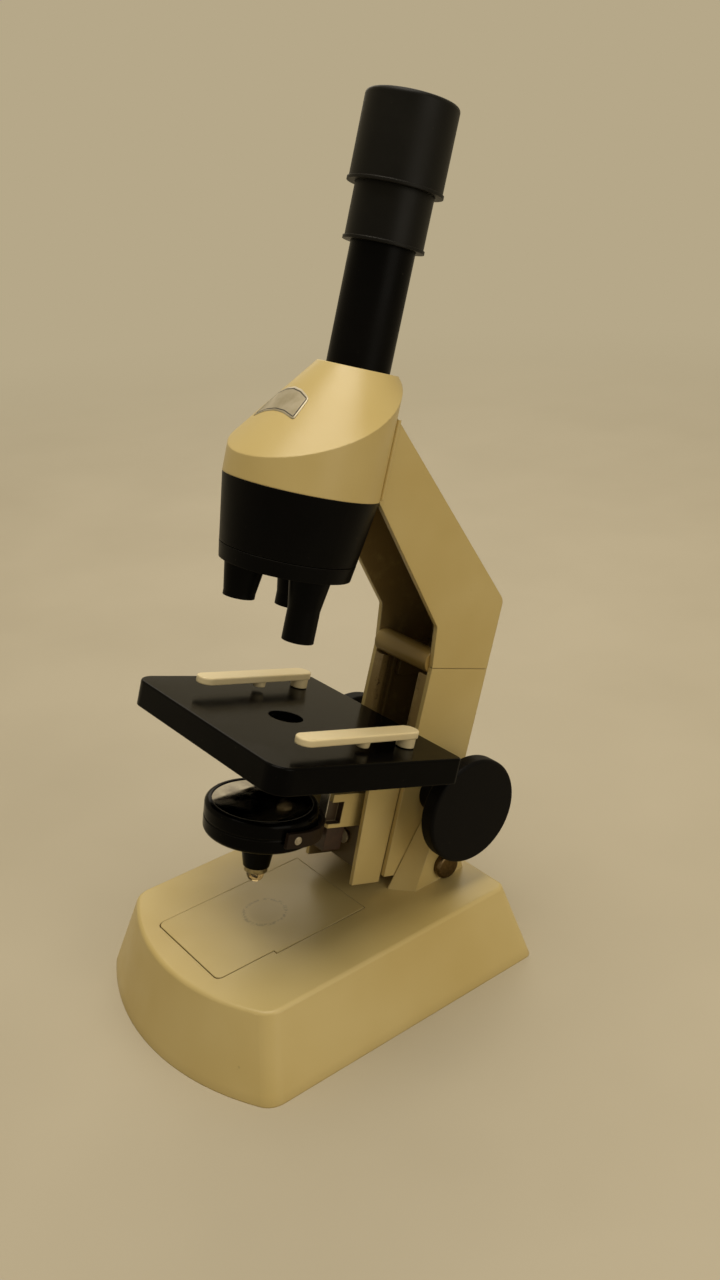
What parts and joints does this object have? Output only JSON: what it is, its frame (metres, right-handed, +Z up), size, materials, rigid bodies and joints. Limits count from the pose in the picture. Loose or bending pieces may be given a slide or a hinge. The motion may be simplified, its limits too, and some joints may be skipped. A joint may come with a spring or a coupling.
{
  "type": "student microscope",
  "caption": "Student microscope with inclined arm, rack focused stage, rotating nosepiece, drawtube eyepiece, swinging lamp and mirror unit and a battery base.",
  "frame": {"origin": "on the table, below the middle of the whole microscope's outer box", "axes": "+X to the user's right, +Y away from the user, +Z up; the optical axis leans back by 18.9 degrees"},
  "size_m": [0.1076, 0.1566, 0.3038],
  "materials": {
    "cream_plastic": "semi-gloss, yellowed",
    "black_plastic": "satin",
    "gear_plastic": "matte",
    "brown_phenolic": "matte",
    "fibre_washer": "matte",
    "screw_steel": "dull plated",
    "plated_contacts": "bright plated",
    "gear_brass": "turned",
    "lens_glass": "polished",
    "bulb_glass": "clear",
    "mirror_glass": "polished"
  },
  "bodies": {
    "stand": {"base": "cream_plastic", "battery_contact_plate": "plated_contacts", "battery_springs": "plated_contacts", "pivot_bolt": "screw_steel", "pivot_nut": "screw_steel"},
    "limb": {"arm_lower": "cream_plastic", "arm_upper": "cream_plastic", "arm_screws": "screw_steel", "arm_spacer": "cream_plastic", "pivot_spacer": "gear_plastic", "head": "cream_plastic", "head_screws": "screw_steel", "nose_housing": "black_plastic", "turret_screw": "screw_steel", "detent_ball": "screw_steel", "detent_spring": "plated_contacts", "body_tube": "black_plastic"},
    "focus_drive": {"focus_shaft": "screw_steel", "pinion": "gear_brass", "tension_washers": "fibre_washer", "focus_knob_right": "black_plastic", "focus_knob_left": "black_plastic"},
    "stage_carrier": {"stage": "black_plastic", "stage_screws": "screw_steel", "clip_pins": "screw_steel", "stage_bracket": "cream_plastic", "bracket_screws": "screw_steel", "stage_slide": "cream_plastic", "focus_rack": "gear_plastic", "lamp_yoke": "black_plastic", "lamp_bracket": "cream_plastic", "lamp_screw": "screw_steel", "lamp_insulator": "brown_phenolic", "lamp_contact_strip": "plated_contacts"},
    "lamp_unit": {"lamp_drum": "black_plastic", "mirror": "mirror_glass", "bulb_collar": "gear_brass", "bulb": "bulb_glass", "drum_pins": "screw_steel"},
    "clip_right": {"stage_clip_right": "cream_plastic"},
    "clip_left": {"stage_clip_left": "cream_plastic"},
    "nosepiece": {"turret": "black_plastic", "objective_high": "black_plastic", "lens_high": "lens_glass", "objective_mid": "black_plastic", "lens_mid": "lens_glass", "objective_low": "black_plastic", "lens_low": "lens_glass"},
    "sleeve": {"zoom_sleeve": "black_plastic", "field_lens": "lens_glass"},
    "eyepiece": {"eyepiece_cap": "black_plastic", "eye_lens": "lens_glass", "eye_lens_ring": "black_plastic"},
    "cover": {"battery_cover": "cream_plastic"}
  },
  "joints": [
    {"name": "inclination", "type": "hinge", "parent": "stand", "child": "limb", "pos_m": [0, 0.0391, 0.0349], "axis": [-1, 0, 0], "range_deg": [-3, 26]},
    {"name": "focus_knobs", "type": "hinge", "parent": "limb", "child": "focus_drive", "pos_m": [0, 0.04267, 0.06232], "axis": [1, 0, 0], "range_deg": [-234, 9.6]},
    {"name": "stage_lift", "type": "slide", "parent": "limb", "child": "stage_carrier", "axis": [0, 0.3239, 0.9461], "range_m": [-0.001, 0.0245]},
    {"name": "lamp_tilt", "type": "hinge", "parent": "stage_carrier", "child": "lamp_unit", "pos_m": [0, -0.0235, 0.07187], "axis": [1, 0, 0], "range_deg": [-187, 25]},
    {"name": "clip_right_turn", "type": "hinge", "parent": "stage_carrier", "child": "clip_right", "pos_m": [0.0315, 0.01841, 0.10043], "axis": [0, 0.3239, 0.9461], "range_deg": [-30, 15]},
    {"name": "clip_left_turn", "type": "hinge", "parent": "stage_carrier", "child": "clip_left", "pos_m": [-0.0315, 0.01841, 0.10043], "axis": [0, 0.3239, 0.9461], "range_deg": [-20, 25]},
    {"name": "nosepiece_turn", "type": "hinge", "parent": "limb", "child": "nosepiece", "pos_m": [0, -0.00461, 0.16222], "axis": [0, 0.3239, 0.9461], "continuous": true},
    {"name": "zoom_pull", "type": "slide", "parent": "limb", "child": "sleeve", "axis": [0, 0.3239, 0.9461], "range_m": [-0.005, 0.018]},
    {"name": "eyepiece_lift", "type": "slide", "parent": "sleeve", "child": "eyepiece", "axis": [0, 0.3239, 0.9461], "range_m": [0, 0.012]},
    {"name": "battery_cover_lift", "type": "slide", "parent": "stand", "child": "cover", "axis": [0, -0.1908, 0.9816], "range_m": [0, 0.013]}
  ],
  "couplings": [
    {"joint": "focus_knobs", "follows": "stage_lift", "rad_per_m": -166.67}
  ]
}
